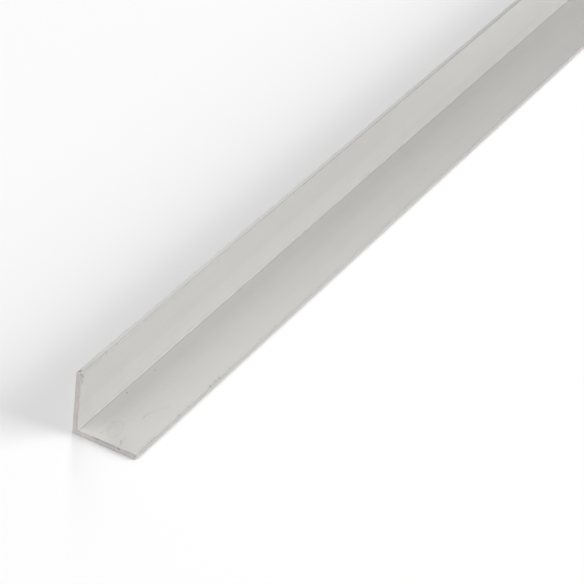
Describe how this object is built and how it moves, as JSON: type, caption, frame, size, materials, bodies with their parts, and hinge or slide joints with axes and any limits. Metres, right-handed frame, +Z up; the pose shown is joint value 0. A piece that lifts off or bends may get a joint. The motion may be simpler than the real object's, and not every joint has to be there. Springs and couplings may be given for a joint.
{
  "type": "metal angle section",
  "caption": "Straight equal-leg metal angle with a thin L section and square-sawn ends, lying on one leg with the other upright, for framing, edging and brackets.",
  "frame": {"origin": "on the floor, under the middle of the bar's box: halfway along the length and halfway across the flat leg", "axes": "+Y along the length, away from the end nearest the camera; +X across the flat leg from heel to toe; +Z up the upright leg"},
  "size_m": [0.025, 1, 0.025],
  "materials": {
    "anodised_aluminium": "satin natural anodised skin, bare sawn metal on the two ends"
  },
  "bodies": {
    "root": {"angle_section": "anodised_aluminium"}
  },
  "joints": []
}
